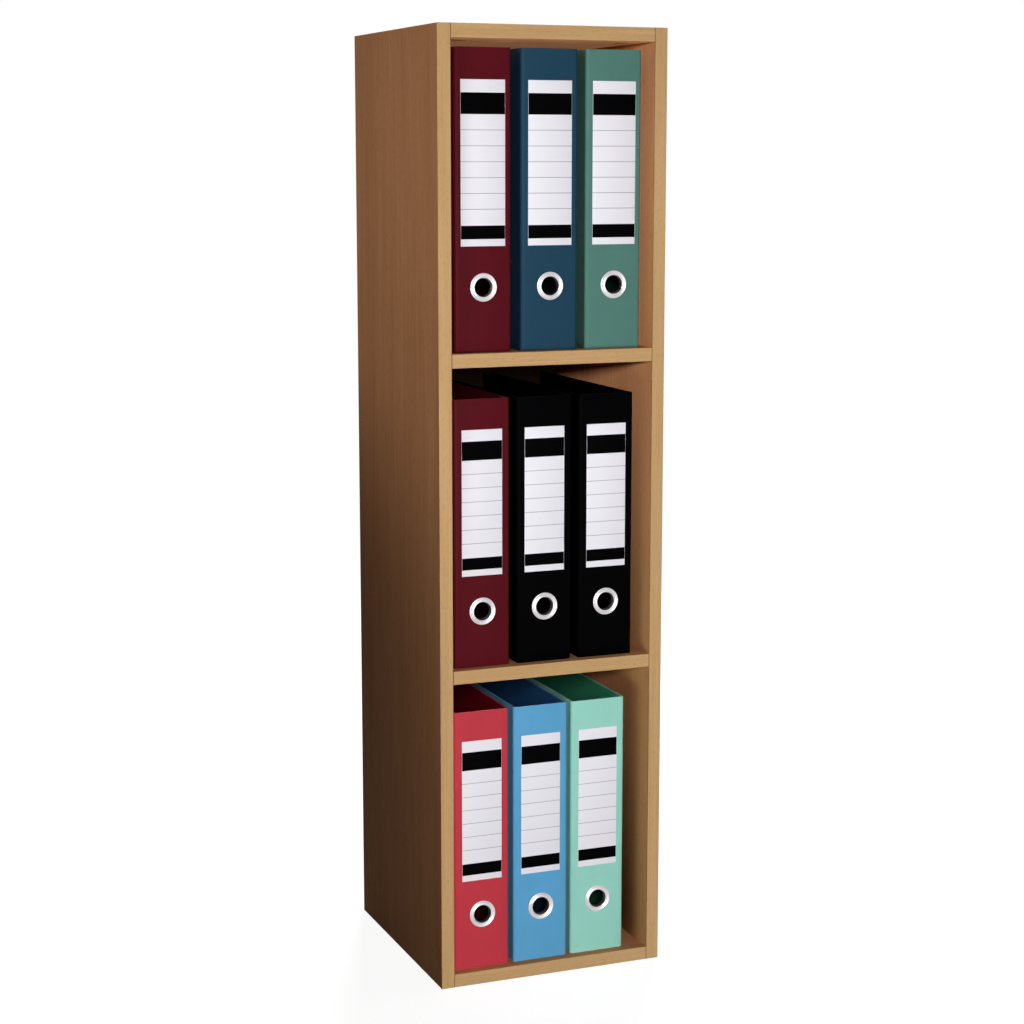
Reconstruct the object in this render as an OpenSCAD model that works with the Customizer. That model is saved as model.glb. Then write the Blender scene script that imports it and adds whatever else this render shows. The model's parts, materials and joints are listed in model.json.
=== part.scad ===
// A narrow shelf for lever arch files: three open compartments, one above the other,
// with three files in each. The shelf is sized by the files that it takes.
// The origin is on the floor under the middle of the shelf. X runs to the right,
// Y to the back and Z up, in millimetres.

/* [Shelf boards] */
// Thickness of the chipboard sides and boards
board_t = 16; // [15:0.5:22]
// Thickness of the hardboard back
back_t = 3; // [2.5:0.5:5]
// How far the back laps into the rebate of each side
rebate_w = 7; // [5:0.5:9]
// Gap all round the back
back_gap = 0.5; // [0.3:0.1:1.5]
// Thickness of the glued edge bands
band_t = 0.8; // [0.5:0.1:2]
// Rounding along the edge bands' front corners
band_round = 0.4; // [0.1:0.05:0.5]

/* [Compartments] */
// Room above the tallest file
headroom = 9.5; // [4:0.5:60]
// How far the files stand behind the shelf's front edge
file_setback = 12; // [6:1:40]
// Room to the right of the fullest row of files
spare_w = 11; // [2:1:80]
// Gaps in the bottom row, from the left side to the third file
bottom_gaps = [5, 6, 5]; // [2:0.5:30]
// Gaps in the middle row, from the left side to the third file
middle_gaps = [6, 9, 9.5]; // [2:0.5:30]
// Gaps in the top row, from the left side to the third file
top_gaps = [8, 13, 11]; // [2:0.5:30]

/* [Files] */
// Height of the files in the bottom and middle rows
a4_file_h = 318; // [300:1:330]
// Height of the files in the top row
tall_file_h = 346; // [330:1:360]
// Width of a file across its spine
file_w = 70; // [66:1:85]
// Depth of a file from its spine to the free edge of its covers
file_d = 285; // [260:1:300]
// Thickness of the cover board with its film
cover_t = 2.3; // [1.8:0.1:3]
// Rounding of the two upright edges of the spine
spine_round = 4; // [3.2:0.1:6]
// Radius of the hinge crease pressed into each cover
crease_r = 0.9; // [0.5:0.1:1.2]
// Distance of the hinge crease behind the front of the spine
crease_y = 7; // [7:0.5:14]
// Gap under and behind each file, which keeps it free to slide
seat_gap = 0.2; // [0.1:0.05:0.5]

/* [Spine label] */
// Width of the label on the lower files
a4_label_w = 50.5; // [40:0.5:56]
// Height of the label on the lower files
a4_label_h = 172.5; // [120:0.5:180]
// Width of the label on the tall files
tall_label_w = 54.5; // [40:0.5:58]
// Height of the label on the tall files
tall_label_h = 188; // [120:0.5:200]
// Distance of the label below the top of the spine
label_drop = 36; // [15:1:45]
// Thickness of the label card
label_t = 0.3; // [0.2:0.05:0.6]

/* [Finger ring] */
// Height of the ring's centre on the lower files
a4_ring_z = 67; // [40:1:80]
// Height of the ring's centre on the tall files
tall_ring_z = 75; // [40:1:90]
// Outer diameter of the ring's rolled front rim
ring_d = 33; // [30:0.5:38]
// Bore of the ring, which a finger goes into
ring_bore = 21; // [18:0.5:24]
// Thickness of the ring's metal
ring_wall = 0.6; // [0.4:0.05:1]
// How far the rolled rim stands out in front of the spine
rim_out = 2; // [1.2:0.1:3]
// How wide the ring's rear lip is turned over behind the spine
rear_lip = 3; // [1.5:0.5:4]

/* [Lever arch mechanism] */
// Distance between the two posts, centre to centre
post_span = 80; // [70:1:80]
// Diameter of the posts and of the arch wire
wire_d = 4; // [3.2:0.1:4.5]
// Distance between the arch wire's hinge line and the posts
hoop_w = 40; // [30:1:44]
// Thickness of the base plate and of its ears
plate_t = 1; // [0.8:0.1:1.5]
// Height of the base plate along the file
plate_h = 158; // [120:1:170]
// Margin of the base plate beyond the posts and the hinge line
plate_margin = 9; // [8:0.5:14]
// Distance of the base plate's front edge behind the spine
plate_y = 17; // [12:1:30]
// Space between the hoops and the opposite cover
hoop_gap = 3; // [1:0.5:12]
// Height of the arch wire's hinge line above the base plate
hinge_rise = 4; // [3:0.5:6]
// Width of the lever
lever_w = 9; // [6:0.5:10]
// Thickness of the lever
lever_t = 1.5; // [1:0.1:2]
// Length of the lever beyond its pivot
lever_l = 92; // [60:1:100]
// Diameter of the lever's pivot pin
pin_d = 3; // [2.5:0.1:4]
// Diameter of the roller that presses on the arch wire
roller_d = 8; // [6:0.5:10]
// Diameter of the rivets that hold the base plate
rivet_d = 4; // [3:0.1:5]
// Diameter of the rivets' heads
rivet_head_d = 8; // [6:0.5:10]
// Thickness of the paper clamp bar
clamp_t = 3; // [2:0.5:5]
// Width of the paper clamp bar
clamp_w = 13; // [9:1:16]

/* [Fittings] */
// Diameter of the wooden dowels
dowel_d = 8; // [6:1:10]
// Length of the dowels
dowel_l = 30; // [25:1:40]
// How far a dowel goes into a side
dowel_in_side = 10; // [8:0.5:12]
// Diameter of the cam housings
cam_d = 15; // [12:1:16]
// Distance of a cam from the end of its board
cam_reach = 24; // [18:1:34]
// Distance of the cams from the front and rear edges of the boards
cam_inset = 40; // [25:1:60]
// Distance from each cam to the dowel beside it
dowel_step = 32; // [20:1:64]
// How far a cam bolt is screwed into a side
bolt_in_side = 10.5; // [8:0.5:12]
// Diameter of the cam bolt's thread and shank
bolt_d = 6; // [5:0.5:7]
// Diameter of the covering caps
cap_d = 18; // [17:0.5:22]
// Thickness of the covering caps
cap_t = 1; // [0.6:0.1:1.5]
// Diameter of the panel pins
nail_d = 1.5; // [1.2:0.1:2]
// Length of the panel pins
nail_l = 20; // [15:1:30]
// Diameter of the panel pins' heads
nail_head_d = 3.6; // [3:0.1:4.5]
// Thickness of the panel pins' heads
nail_head_t = 0.6; // [0.4:0.1:1]
// Panel pins along each side
side_nails = 7; // [3:1:12]
// Distance of the outermost panel pins from the shelf's top and bottom
nail_edge = 45; // [25:1:80]

/* [Hidden] */
$fn = 64;
// Running space round pins, dowels and bolts
fit = 0.1;
// Overshoot of a cut past the face that it opens
cut = 1;

row_names = ["bottom", "middle", "top"];
place_names = ["left", "centre", "right"];
rows = [0 : len(row_names) - 1];
places = [0 : len(place_names) - 1];
levels = [0 : len(row_names)];
row_gaps = [bottom_gaps, middle_gaps, top_gaps];
row_file_h = [a4_file_h, a4_file_h, tall_file_h];
row_label_w = [a4_label_w, a4_label_w, tall_label_w];
row_label_h = [a4_label_h, a4_label_h, tall_label_h];
row_ring_z = [a4_ring_z, a4_ring_z, tall_ring_z];

function gap_sum(row, last) = last < 0 ? 0 : row_gaps[row][last] + gap_sum(row, last - 1);
fullest = max([for (row = rows) gap_sum(row, len(place_names) - 1)]);

clear_w = fullest + len(place_names) * file_w + spare_w;
clear_h = max(row_file_h) + headroom;
shelf_w = clear_w + 2 * board_t;
shelf_d = file_setback + file_d + seat_gap + back_t;
shelf_h = len(row_names) * (clear_h + board_t) + board_t;
front_y = -shelf_d / 2;
core_y = front_y + band_t;
back_y = shelf_d / 2 - back_t;
board_d = back_y - core_y;
board_mid_y = (core_y + back_y) / 2;

function board_z(level) = level * (clear_h + board_t);
function file_x(row, place) = -clear_w / 2 + gap_sum(row, place) + place * file_w;
file_y = front_y + file_setback;
function file_z(row) = board_z(row) + board_t + seat_gap;

// Cam fittings: the housing is let into the board's underside, past the bolt's axis
cam_over = 4.5;
cam_floor = 0.6;
bolt_head_d = bolt_d + 1;
cam_offset = board_d / 2 - cam_inset;
dowel_offset = cam_offset - dowel_step;
socket_d = 4;
socket_depth = 2.5;

nail_sink = 0.05;
// Fine joint between a board's band and the bands of the sides
band_joint = 0.1;
board_nail_x = clear_w / 4;

// Mechanism, in a file's own axes: X from the left cover, Y from the spine, Z up
plate_x = cover_t + plate_t;
hinge_y = cover_t + plate_y + plate_margin + lever_w;
post_y = hinge_y + hoop_w;
plate_w = post_y + plate_margin - cover_t - plate_y;
plate_round = 6;
hinge_x = plate_x + hinge_rise;
hoop_top = file_w - cover_t - hoop_gap;
hoop_bend_x = hoop_top - wire_d / 2 - hoop_w / 2;
lever_y = hinge_y - wire_d / 2 - 2 * fit - plate_t - lever_w;
pivot_x = hinge_x + wire_d / 2 + roller_d / 2 + fit;
pivot_z = -10;
roller_y = lever_y + lever_w + plate_t + 2 * fit;
roller_z = 6;
ear_h = pivot_x + pin_d - plate_x;
ear_l = 14;
grip_w = lever_w + 7;
grip_l = 26;
clamp_x = plate_x + 7;
rivet_in = 7;
rivet_head_t = 0.8;

cover_tints = [
  ["#bc3542", "#4a9bcd", "#80cbb4"],
  ["#5e161f", "#141416", "#141416"],
  ["#60181e", "#2a506c", "#5d877c"]
];

function file_node(row, place, piece) = str(row_names[row], "_", place_names[place], "_", piece);
file_pieces = ["cover", "label", "ring", "mechanism", "lever_arch"];

// Places its children at the board ends: X into the board from the side's face, Z up
module at_joints(where, offset, sides = [-1, 1]) {
  for (level = where)
    for (side = sides)
      for (end = [-1, 1])
        translate([side * clear_w / 2, board_mid_y + end * offset, board_z(level) + board_t / 2])
          mirror([side > 0 ? 1 : 0, 0, 0])
            children();
}

module at_back_pins() {
  for (side = [-1, 1])
    for (i = [0 : side_nails - 1])
      translate([
        side * (clear_w + rebate_w) / 2,
        shelf_d / 2,
        nail_edge + i * (shelf_h - 2 * nail_edge) / (side_nails - 1)
      ])
        children();
  for (side = [-1, 1])
    for (level = levels)
      translate([side * board_nail_x, shelf_d / 2, board_z(level) + board_t / 2])
        children();
}

module along_x(d, h) {
  rotate([0, 90, 0])
    cylinder(d = d, h = h);
}

module along_y(d, h) {
  rotate([-90, 0, 0])
    cylinder(d = d, h = h);
}

module back_pin(space = 0) {
  rotate([90, 0, 0]) {
    translate([0, 0, nail_sink])
      cylinder(d = nail_d + space, h = nail_l + space);
    translate([0, 0, nail_sink - space])
      cylinder(d = nail_head_d + space, h = nail_head_t + space);
  }
}

module dowel(space = 0) {
  translate([-dowel_in_side - space, 0, 0])
    along_x(dowel_d + space, dowel_l + 2 * space);
}

module bolt_thread(space = 0) {
  translate([-bolt_in_side - space, 0, 0])
    along_x(bolt_d + space, bolt_in_side + 2 * space);
}

module cam_bolt() {
  bolt_thread();
  along_x(bolt_d, cam_reach - bolt_head_d / 2);
  along_x(bolt_d / 2, cam_reach);
  translate([cam_reach, 0, 0])
    sphere(d = bolt_head_d);
}

module cam_housing() {
  difference() {
    translate([cam_reach, 0, -board_t / 2 + cam_floor])
      cylinder(d = cam_d - 2 * fit, h = board_t / 2 - cam_floor + cam_over);
    translate([cam_reach - cam_d, 0, 0])
      along_x(bolt_head_d + 2 * fit, cam_d);
    translate([cam_reach, 0, 0])
      sphere(d = bolt_head_d + 2 * fit);
    translate([cam_reach, 0, -board_t / 2 + cam_floor - cut])
      cylinder(d = socket_d + 2 * fit, h = socket_depth + cut);
  }
}

module cam_cap() {
  translate([cam_reach, 0, -board_t / 2]) {
    translate([0, 0, -cap_t])
      cylinder(d1 = cap_d - cap_t, d2 = cap_d, h = cap_t / 2);
    translate([0, 0, -cap_t / 2])
      cylinder(d = cap_d, h = cap_t / 2);
    cylinder(d = socket_d, h = cam_floor + socket_depth - 2 * fit);
  }
}

module side_panel(side) {
  difference() {
    translate([side < 0 ? -shelf_w / 2 : clear_w / 2, core_y, 0])
      cube([board_t, shelf_d - band_t, shelf_h - band_t]);
    translate([side < 0 ? -clear_w / 2 - rebate_w : clear_w / 2 - cut, back_y, -cut])
      cube([rebate_w + cut, back_t + cut, shelf_h + 2 * cut]);
    at_joints(levels, dowel_offset, [side])
      dowel(fit);
    at_joints(levels, cam_offset, [side])
      bolt_thread(fit);
    at_back_pins()
      back_pin(fit);
  }
}

module board(level) {
  difference() {
    translate([-clear_w / 2, core_y, board_z(level)])
      cube([clear_w, board_d, board_t]);
    at_joints([level], dowel_offset)
      dowel(fit);
    at_joints([level], cam_offset) {
      translate([-cut, 0, 0])
        along_x(bolt_head_d + 2 * fit, cam_reach + cut);
      translate([cam_reach, 0, -board_t / 2 - cut])
        cylinder(d = cam_d, h = cut + board_t / 2 + cam_over + fit);
    }
    at_back_pins()
      back_pin(fit);
  }
}

module left_side() {
  color("#c19e6c")
    side_panel(-1);
}

module right_side() {
  color("#c19e6c")
    side_panel(1);
}

module bottom_board() {
  color("#c19e6c")
    board(0);
}

module lower_shelf() {
  color("#c19e6c")
    board(1);
}

module upper_shelf() {
  color("#c19e6c")
    board(2);
}

module top_board() {
  color("#c19e6c")
    board(3);
}

module back_panel() {
  color("#b08d5c")
    difference() {
      translate([-clear_w / 2 - rebate_w + back_gap, back_y, back_gap])
        cube([clear_w + 2 * (rebate_w - back_gap), back_t, shelf_h - 2 * back_gap]);
      at_back_pins()
        back_pin(fit);
    }
}

// A band across w of a board's edge, with its two front corners eased
module band_outline(w) {
  translate([band_round, 0])
    square([w - 2 * band_round, band_t]);
  translate([0, band_round])
    square([w, band_t - band_round]);
  for (x = [band_round, w - band_round])
    translate([x, band_round])
      circle(r = band_round);
}

module front_bands() {
  color("#cba672") {
    for (x = [-shelf_w / 2, clear_w / 2])
      translate([x, front_y, 0])
        linear_extrude(shelf_h)
          band_outline(board_t);
    for (level = levels)
      translate([-clear_w / 2 + band_joint, front_y, board_z(level) + board_t])
        rotate([0, 90, 0])
          linear_extrude(clear_w - 2 * band_joint)
            band_outline(board_t);
  }
}

module top_bands() {
  color("#cba672")
    for (x = [-shelf_w / 2, clear_w / 2])
      difference() {
        translate([x, shelf_d / 2, shelf_h])
          rotate([90, 0, 0])
            linear_extrude(shelf_d - band_t)
              mirror([0, 1])
                band_outline(board_t);
        translate([-clear_w / 2 - rebate_w, back_y, shelf_h - band_t - cut])
          cube([clear_w + 2 * rebate_w, back_t + cut, band_t + 2 * cut]);
      }
}

module dowels() {
  color("#d8b98a")
    at_joints(levels, dowel_offset)
      dowel();
}

module cam_bolts() {
  color("silver")
    at_joints(levels, cam_offset)
      cam_bolt();
}

module cam_housings() {
  color("gainsboro")
    at_joints(levels, cam_offset)
      cam_housing();
}

// The bottom board's cams face the floor and have no caps
module cam_caps() {
  color("#c9a878")
    at_joints([1 : len(row_names)], cam_offset)
      cam_cap();
}

module back_pins() {
  color("silver")
    at_back_pins()
      back_pin();
}

module at_file(row, place) {
  translate([file_x(row, place), file_y, file_z(row)])
    children();
}

module at_rivets() {
  for (y = [cover_t + plate_y + rivet_in, post_y + plate_margin - rivet_in])
    for (z = [-1, 1])
      translate([0, y, z * (plate_h / 2 - rivet_in)])
        children();
}

// The cover in plan: the spine in front and a board down each side, open at the back
module cover_outline() {
  inner_round = spine_round - cover_t;
  difference() {
    union() {
      translate([0, spine_round])
        square([file_w, file_d - spine_round]);
      translate([spine_round, 0])
        square([file_w - 2 * spine_round, file_d]);
      for (x = [spine_round, file_w - spine_round])
        translate([x, spine_round])
          circle(r = spine_round);
    }
    translate([cover_t, spine_round])
      square([file_w - 2 * cover_t, file_d]);
    translate([spine_round, cover_t])
      square([file_w - 2 * spine_round, file_d]);
    for (x = [spine_round, file_w - spine_round])
      translate([x, spine_round])
        circle(r = inner_round);
    for (x = [0, file_w])
      translate([x, crease_y])
        circle(r = crease_r);
  }
}

module cover(row, place) {
  color(cover_tints[row][place])
    at_file(row, place)
      difference() {
        linear_extrude(row_file_h[row])
          cover_outline();
        translate([file_w / 2, -cut, row_ring_z[row]])
          along_y(ring_bore + 2 * ring_wall + fit, cover_t + 2 * cut);
        translate([-cut, 0, row_file_h[row] / 2])
          at_rivets()
            along_x(rivet_d + fit, cover_t + 2 * cut);
      }
}

module label(row, place) {
  color("white")
    at_file(row, place)
      translate([
        (file_w - row_label_w[row]) / 2,
        -label_t,
        row_file_h[row] - label_drop - row_label_h[row]
      ])
        cube([row_label_w[row], label_t, row_label_h[row]]);
}

// Half section of the ring: radius to the right, up towards the front of the spine
module ring_section() {
  rim_w = (ring_d - ring_bore) / 2;
  translate([ring_bore / 2, -cover_t - ring_wall])
    square([ring_wall, cover_t + ring_wall + rim_out / 2]);
  translate([ring_bore / 2, -cover_t - ring_wall])
    square([rear_lip, ring_wall]);
  translate([ring_bore / 2 + rim_out / 2, rim_out / 2])
    circle(d = rim_out);
  translate([ring_d / 2 - rim_out / 2, rim_out / 2])
    circle(d = rim_out);
  translate([ring_bore / 2 + rim_out / 2, 0])
    square([rim_w - rim_out, rim_out - ring_wall / 2]);
}

module ring(row, place) {
  color("#e4e2e0")
    at_file(row, place)
      translate([file_w / 2, 0, row_ring_z[row]])
        rotate([90, 0, 0])
          rotate_extrude()
            ring_section();
}

module base_plate() {
  difference() {
    translate([cover_t, cover_t + plate_y, -plate_h / 2])
      rotate([90, 0, 90])
        linear_extrude(plate_t) {
          translate([plate_round, 0])
            square([plate_w - 2 * plate_round, plate_h]);
          translate([0, plate_round])
            square([plate_w, plate_h - 2 * plate_round]);
          for (y = [plate_round, plate_w - plate_round])
            for (z = [plate_round, plate_h - plate_round])
              translate([y, z])
                circle(r = plate_round);
        }
    translate([cover_t - cut, 0, 0])
      at_rivets()
        along_x(rivet_d + fit, plate_t + 2 * cut);
  }
}

module posts() {
  for (z = [-1, 1])
    translate([plate_x, post_y, z * post_span / 2])
      along_x(wire_d, hoop_bend_x - plate_x - fit);
}

// Two lugs folded up from the plate carry the arch wire
module wire_lugs() {
  lug_w = wire_d + 4;
  for (z = [-1, 1])
    difference() {
      translate([plate_x, hinge_y - lug_w / 2, z * post_span / 4 - plate_t])
        cube([hinge_rise + wire_d / 2 + plate_t, lug_w, 2 * plate_t]);
      translate([hinge_x, hinge_y, z * post_span / 4 - plate_t - cut])
        cylinder(d = wire_d + fit, h = 2 * plate_t + 2 * cut);
    }
}

module ears() {
  for (y = [lever_y - fit - plate_t, lever_y + lever_w + fit])
    difference() {
      translate([plate_x, y, pivot_z - ear_l / 2])
        cube([ear_h, plate_t, ear_l]);
      translate([pivot_x, y - cut, pivot_z])
        along_y(pin_d + fit, plate_t + 2 * cut);
    }
}

module rivet() {
  translate([-rivet_head_t, 0, 0])
    along_x(rivet_head_d, rivet_head_t);
  along_x(rivet_d, plate_x + fit);
  translate([plate_x + fit, 0, 0])
    along_x(rivet_head_d - 2, rivet_head_t);
}

// The clamp bar that presses the sheets down slides on the posts
module clamp_bar() {
  difference() {
    translate([clamp_x, post_y - clamp_w / 2, -post_span / 2 - clamp_w / 2])
      cube([clamp_t, clamp_w, post_span + clamp_w]);
    for (z = [-1, 1])
      translate([clamp_x - cut, post_y, z * post_span / 2])
        along_x(wire_d + 2 * fit, clamp_t + 2 * cut);
  }
}

module mechanism(row, place) {
  color("#c8cacc")
    at_file(row, place)
      translate([0, 0, row_file_h[row] / 2]) {
        union() {
          base_plate();
          posts();
          wire_lugs();
          ears();
        }
        at_rivets()
          rivet();
        clamp_bar();
      }
}

// One wire: a hinge bar up the file and a hoop at each end that bends over to its post
module arch_wire() {
  translate([hinge_x, hinge_y, -post_span / 2])
    cylinder(d = wire_d, h = post_span);
  for (z = [-1, 1])
    translate([hinge_x, hinge_y, z * post_span / 2]) {
      sphere(d = wire_d);
      along_x(wire_d, hoop_bend_x - hinge_x);
      translate([hoop_bend_x - hinge_x, hoop_w / 2, 0])
        rotate(-90)
          rotate_extrude(angle = 180)
            translate([hoop_w / 2, 0])
              circle(d = wire_d);
    }
}

module lever() {
  translate([0, lever_y, 0]) {
    difference() {
      union() {
        translate([pivot_x - lever_t / 2, 0, pivot_z])
          cube([lever_t, lever_w, lever_l]);
        translate([pivot_x, 0, pivot_z])
          along_y(pin_d + 3, lever_w);
        translate([pivot_x - lever_t / 2, (lever_w - grip_w) / 2, pivot_z + lever_l])
          cube([lever_t, grip_w, grip_l - grip_w / 2]);
        translate([pivot_x - lever_t / 2, lever_w / 2, pivot_z + lever_l + grip_l - grip_w / 2])
          along_x(grip_w, lever_t);
        translate([pivot_x, lever_w, roller_z])
          along_y(pin_d, roller_y + wire_d - lever_y - lever_w);
      }
      translate([pivot_x, -cut, pivot_z])
        along_y(pin_d + fit, lever_w + 2 * cut);
    }
  }
}

module pivot_pin() {
  translate([pivot_x, lever_y - 2 * plate_t, pivot_z])
    along_y(pin_d, lever_w + 4 * plate_t);
}

// The roller turns on the lever's axle and bears on the arch wire
module roller() {
  translate([pivot_x, roller_y, roller_z])
    difference() {
      along_y(roller_d, wire_d);
      translate([0, -cut, 0])
        along_y(pin_d + fit, wire_d + 2 * cut);
    }
}

module lever_arch(row, place) {
  color("#b9bcc0")
    at_file(row, place)
      translate([0, 0, row_file_h[row] / 2]) {
        arch_wire();
        lever();
        pivot_pin();
        roller();
      }
}

module file_piece(piece, row, place) {
  if (piece == "cover") cover(row, place);
  if (piece == "label") label(row, place);
  if (piece == "ring") ring(row, place);
  if (piece == "mechanism") mechanism(row, place);
  if (piece == "lever_arch") lever_arch(row, place);
}

left_side();
right_side();
bottom_board();
lower_shelf();
upper_shelf();
top_board();
back_panel();
front_bands();
top_bands();
dowels();
cam_bolts();
cam_housings();
cam_caps();
back_pins();
for (row = rows)
  for (place = places)
    for (piece = file_pieces)
      file_piece(piece, row, place);
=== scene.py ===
import json
import math

import bmesh
import bpy
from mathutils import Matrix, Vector


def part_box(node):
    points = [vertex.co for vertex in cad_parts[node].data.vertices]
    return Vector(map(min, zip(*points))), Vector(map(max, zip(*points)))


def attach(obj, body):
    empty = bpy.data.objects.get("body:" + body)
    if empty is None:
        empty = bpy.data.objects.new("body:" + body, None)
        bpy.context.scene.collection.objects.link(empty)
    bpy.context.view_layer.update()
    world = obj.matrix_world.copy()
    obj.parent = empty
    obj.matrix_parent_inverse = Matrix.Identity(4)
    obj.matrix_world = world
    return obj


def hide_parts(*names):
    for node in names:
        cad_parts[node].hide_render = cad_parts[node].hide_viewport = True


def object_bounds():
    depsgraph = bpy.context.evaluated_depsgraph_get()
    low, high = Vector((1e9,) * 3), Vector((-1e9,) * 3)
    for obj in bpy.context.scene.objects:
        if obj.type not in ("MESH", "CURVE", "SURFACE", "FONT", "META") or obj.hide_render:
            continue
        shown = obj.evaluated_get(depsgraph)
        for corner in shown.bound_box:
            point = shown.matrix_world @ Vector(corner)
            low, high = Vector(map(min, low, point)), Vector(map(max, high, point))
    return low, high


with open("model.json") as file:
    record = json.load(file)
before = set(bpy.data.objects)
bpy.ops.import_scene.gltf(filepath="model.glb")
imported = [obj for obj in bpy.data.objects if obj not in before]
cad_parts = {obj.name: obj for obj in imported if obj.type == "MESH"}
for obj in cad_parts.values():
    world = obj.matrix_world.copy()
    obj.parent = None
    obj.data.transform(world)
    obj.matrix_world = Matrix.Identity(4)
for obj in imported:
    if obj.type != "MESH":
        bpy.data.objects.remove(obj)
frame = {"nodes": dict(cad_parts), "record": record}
cadLow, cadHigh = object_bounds()
mm = 0.001
scene = bpy.context.scene
scene.view_settings.view_transform = "Standard"
bpy.ops.object.select_all(action="DESELECT")
print("frame loaded:", len(frame["nodes"]), "nodes")

# camera: fitted to the shelf's corners, shelf edges and files in the photograph
cameraView = {
    "place": (-0.9839, -2.4693, 0.98),
    "yaw": 21.88,  # degrees to the right of straight ahead
    "pitch": 8.99,  # degrees down
    "lens": 76.17,
    "shiftY": -0.01,
}
bpy.ops.object.camera_add(
    location=cameraView["place"],
    rotation=(math.radians(90 - cameraView["pitch"]), 0, -math.radians(cameraView["yaw"])),
)
scene.camera = bpy.context.object
scene.camera.data.lens = cameraView["lens"]
scene.camera.data.shift_y = cameraView["shiftY"]
print("camera placed")


# small helpers for materials
def colour(hexCode):
    # sRGB hex to the linear colour that a shader takes
    parts = [int(hexCode[i : i + 2], 16) / 255 for i in (1, 3, 5)]
    return [c / 12.92 if c <= 0.04045 else ((c + 0.055) / 1.055) ** 2.4 for c in parts] + [1]


def tinted(rgba, share):
    # the same colour, darker or lighter by a share
    return [min(1, c * share) for c in rgba[:3]] + [1]


def addNode(tree, kind, sockets=None, **settings):
    # adds a node, sets its options, and fills or links its sockets
    made = tree.nodes.new(kind)
    for key, value in settings.items():
        setattr(made, key, value)
    for key, value in (sockets or {}).items():
        if isinstance(value, bpy.types.NodeSocket):
            tree.links.new(value, made.inputs[key])
        else:
            made.inputs[key].default_value = value
    return made


def startMaterial(name, sockets):
    made = bpy.data.materials.new(name)
    made.use_nodes = True
    made.node_tree.nodes.clear()
    shader = addNode(made.node_tree, "ShaderNodeBsdfPrincipled", sockets)
    addNode(made.node_tree, "ShaderNodeOutputMaterial", {"Surface": shader.outputs["BSDF"]})
    return made, made.node_tree, shader


noiseSpan = {"From Min": 0.35, "From Max": 0.65}  # where most of a noise's values lie


def speckle(tree, place, sizes, detail, stir=0.0):
    # soft noise on the real scale, its spots sized in mm along x, y and z
    scaled = addNode(
        tree, "ShaderNodeMapping", {"Vector": place, "Scale": [1 / (size * mm) for size in sizes]}
    )
    return addNode(
        tree, "ShaderNodeTexNoise",
        {"Vector": scaled.outputs["Vector"], "Scale": 1.0, "Detail": detail, "Distortion": stir},
    )


def finishWith(tree, shader, base, roughness, bump):
    # links a surface's colour, roughness and relief to its shader
    tree.links.new(base, shader.inputs["Base Color"])
    tree.links.new(bump.outputs["Normal"], shader.inputs["Normal"])
    if roughness:
        tree.links.new(roughness, shader.inputs["Roughness"])


# beech-effect foil and bands
woodTones = {
    "foil": ("#ba7f55", "#c98f65", "#8f5f3b"),  # dark tone, light tone, ray flecks
    "band": ("#b89364", "#c5a072", "#a07a4e"),
    "dowel": ("#c9a878", "#dcc094", "#a9834f"),
}
woodLook = {
    # width across the grain and length along it in mm, detail, share of the tone
    "layers": [(38, 420, 2.0, 0.30), (9, 260, 2.0, 0.20), (2.4, 95, 3.0, 0.34), (0.9, 30, 2.0, 0.16)],
    "stir": 0.12,
    "toneRange": (0.38, 0.62),  # the layers' sum in its darkest and palest streaks
    "fleck": (0.9, 6.5),  # mm; real beech flecks are half that wide, which the render can't show
    "fleckFrom": (0.60, 0.72),  # where in its noise a fleck starts and is full
    "fleckShare": 0.45,
    "fleckDeep": 0.06,  # mm
    "joint": "#5d3f22",  # the dark line where two bands meet
    "jointShare": 0.8,
    "jointHalf": (0.2, 0.7),  # mm from its middle to where it starts and ends to fade
    "roughness": (0.52, 0.42),  # in the dark and the light tone
}
chipboardLook = {
    "chip": (1.3, 4.0, 4.0),  # mm across the board's thickness, and along its two faces
    "packing": (1.3, 1.7),  # chips, and spots of dust, to one such length
    "blur": 0.25,
    "tints": ("#7d5b36", "#a5814f", "#bf9c69", "#d2b483"),  # dark to pale
    "stir": 0.22,
    "dust": 0.35,
    "roughness": 0.8,
}


def standingGrain(tree, place, beyond):
    # turns the grain upright past a distance to either side, and gives a mask of the joint there
    spot = addNode(tree, "ShaderNodeSeparateXYZ", {"Vector": place})
    aside = addNode(tree, "ShaderNodeMath", {0: spot.outputs[0]}, operation="ABSOLUTE")
    past = addNode(tree, "ShaderNodeMath", {0: aside.outputs[0], 1: beyond}, operation="GREATER_THAN")
    upright = addNode(
        tree, "ShaderNodeCombineXYZ", {0: spot.outputs[2], 1: spot.outputs[1], 2: spot.outputs[0]}
    )
    chosen = addNode(
        tree, "ShaderNodeMix", {0: past.outputs[0], 4: place, 5: upright.outputs[0]}, data_type="VECTOR"
    )
    offset = addNode(tree, "ShaderNodeMath", {0: aside.outputs[0], 1: beyond}, operation="SUBTRACT")
    gap = addNode(tree, "ShaderNodeMath", {0: offset.outputs[0]}, operation="ABSOLUTE")
    start, end = woodLook["jointHalf"]
    joint = addNode(
        tree, "ShaderNodeMapRange",
        {"Value": gap.outputs[0], "From Min": start * mm, "From Max": end * mm,
         "To Min": woodLook["jointShare"], "To Max": 0.0},
    )
    return chosen.outputs[1], joint.outputs[0]


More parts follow.
